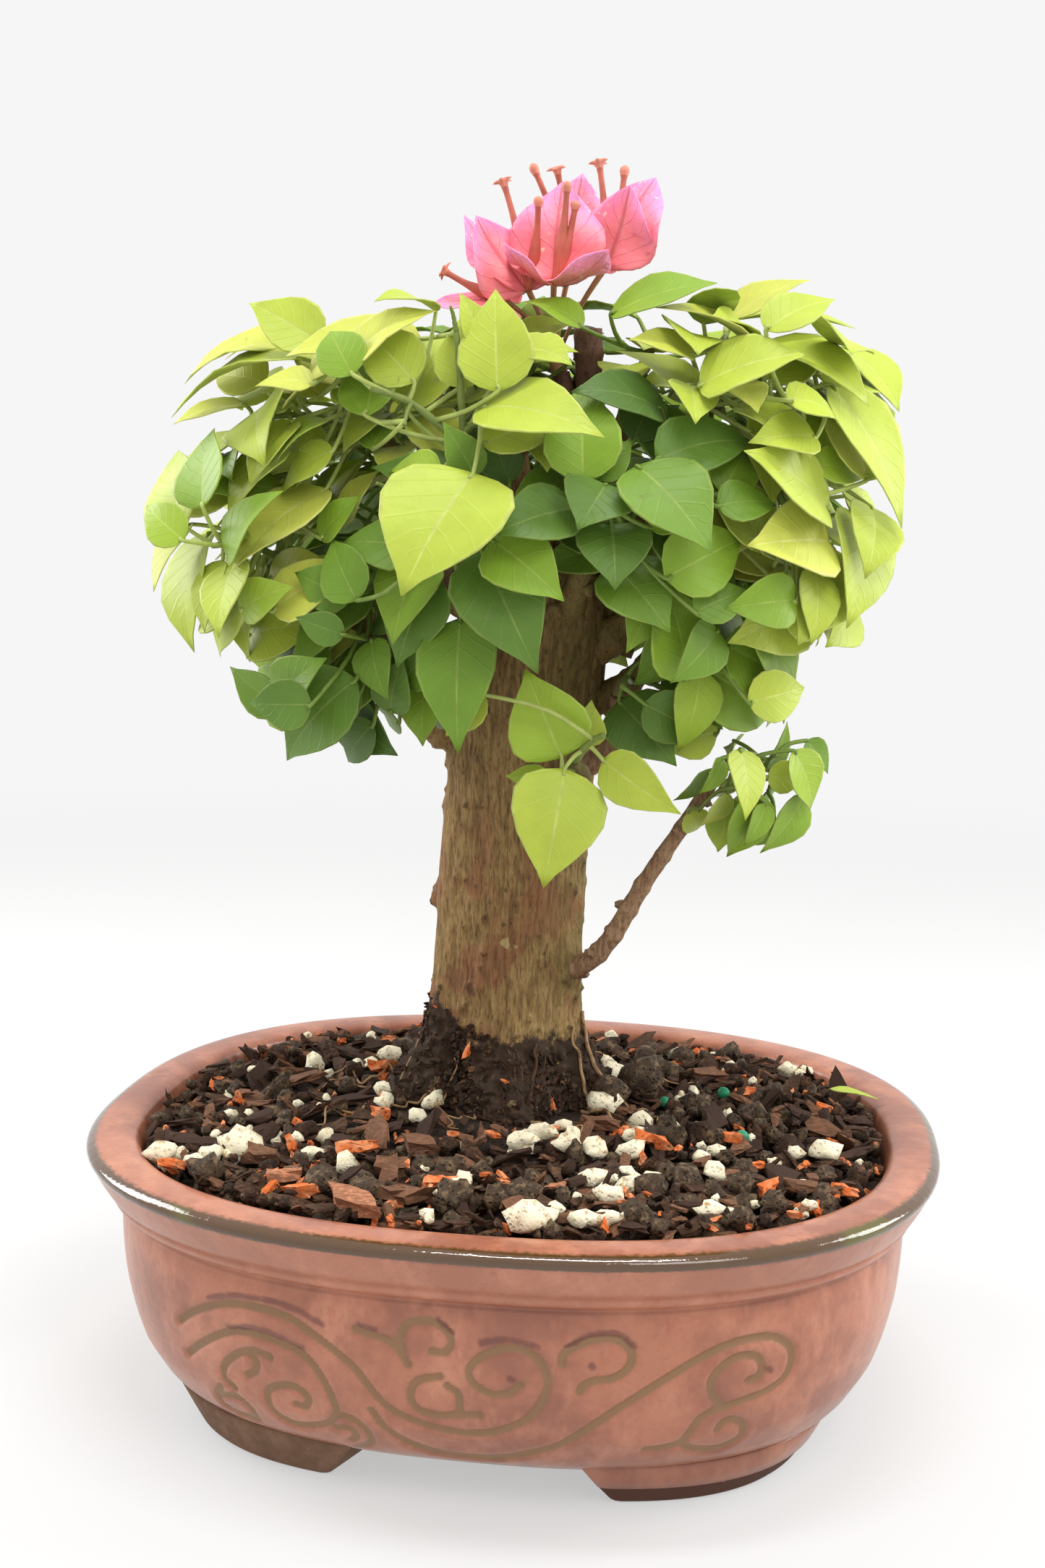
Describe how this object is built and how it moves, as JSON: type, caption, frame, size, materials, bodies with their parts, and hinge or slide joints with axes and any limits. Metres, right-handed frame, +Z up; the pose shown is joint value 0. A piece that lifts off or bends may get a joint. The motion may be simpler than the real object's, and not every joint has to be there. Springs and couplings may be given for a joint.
{
  "type": "bougainvillea bonsai",
  "caption": "Small bougainvillea bonsai with a stout trunk, dense pointed leaves and pink blossom, in an oval glazed pot with carved scrolls and low feet.",
  "frame": {"origin": "on the level surface that the pot's feet stand on, under the centre of the pot", "axes": "+X to the right along the pot's long side, +Y to the back, +Z up"},
  "size_m": [0.2, 0.1744, 0.2871],
  "materials": {
    "glaze": "mottled pink and mauve glaze that breaks brown at the lip, glossy",
    "soil": "loose mix of dark lava, pale pumice and bark chips",
    "bark": "finely furrowed grey-brown bark, matt",
    "young_leaf": "young yellow-green leaf, satin",
    "mid_leaf": "full-grown green leaf, satin",
    "old_leaf": "old dark green leaf, satin",
    "bract": "papery pink bract with darker veins, matt"
  },
  "bodies": {
    "root": {"pot": "glaze", "soil": "soil", "trunk": "bark", "left_bough": "bark", "left_low_bough": "bark", "left_top_bough": "bark", "left_stub": "bark", "centre_bough": "bark", "front_bough": "bark", "front_right_bough": "bark", "right_bough": "bark", "right_knob": "bark", "top_bough": "bark", "crown_bough": "bark", "right_top_bough": "bark", "right_far_bough": "bark", "right_low_bough": "bark", "right_stub": "bark", "back_left_bough": "bark", "back_bough": "bark", "back_right_bough": "bark", "low_branch": "bark", "front_stub": "bark", "centre_leaves": "young_leaf", "front_leaves": "old_leaf", "front_right_leaves": "old_leaf", "front_cluster_leaves": "young_leaf", "left_top_leaves": "young_leaf", "right_top_leaves": "young_leaf", "left_leaves": "young_leaf", "right_leaves": "young_leaf", "left_low_leaves": "old_leaf", "right_low_leaves": "mid_leaf", "right_stub_leaves": "old_leaf", "top_leaves": "mid_leaf", "crown_leaves": "mid_leaf", "back_left_leaves": "mid_leaf", "back_leaves": "mid_leaf", "back_right_leaves": "mid_leaf", "low_branch_leaves": "mid_leaf", "blossom": "bract"}
  },
  "joints": []
}
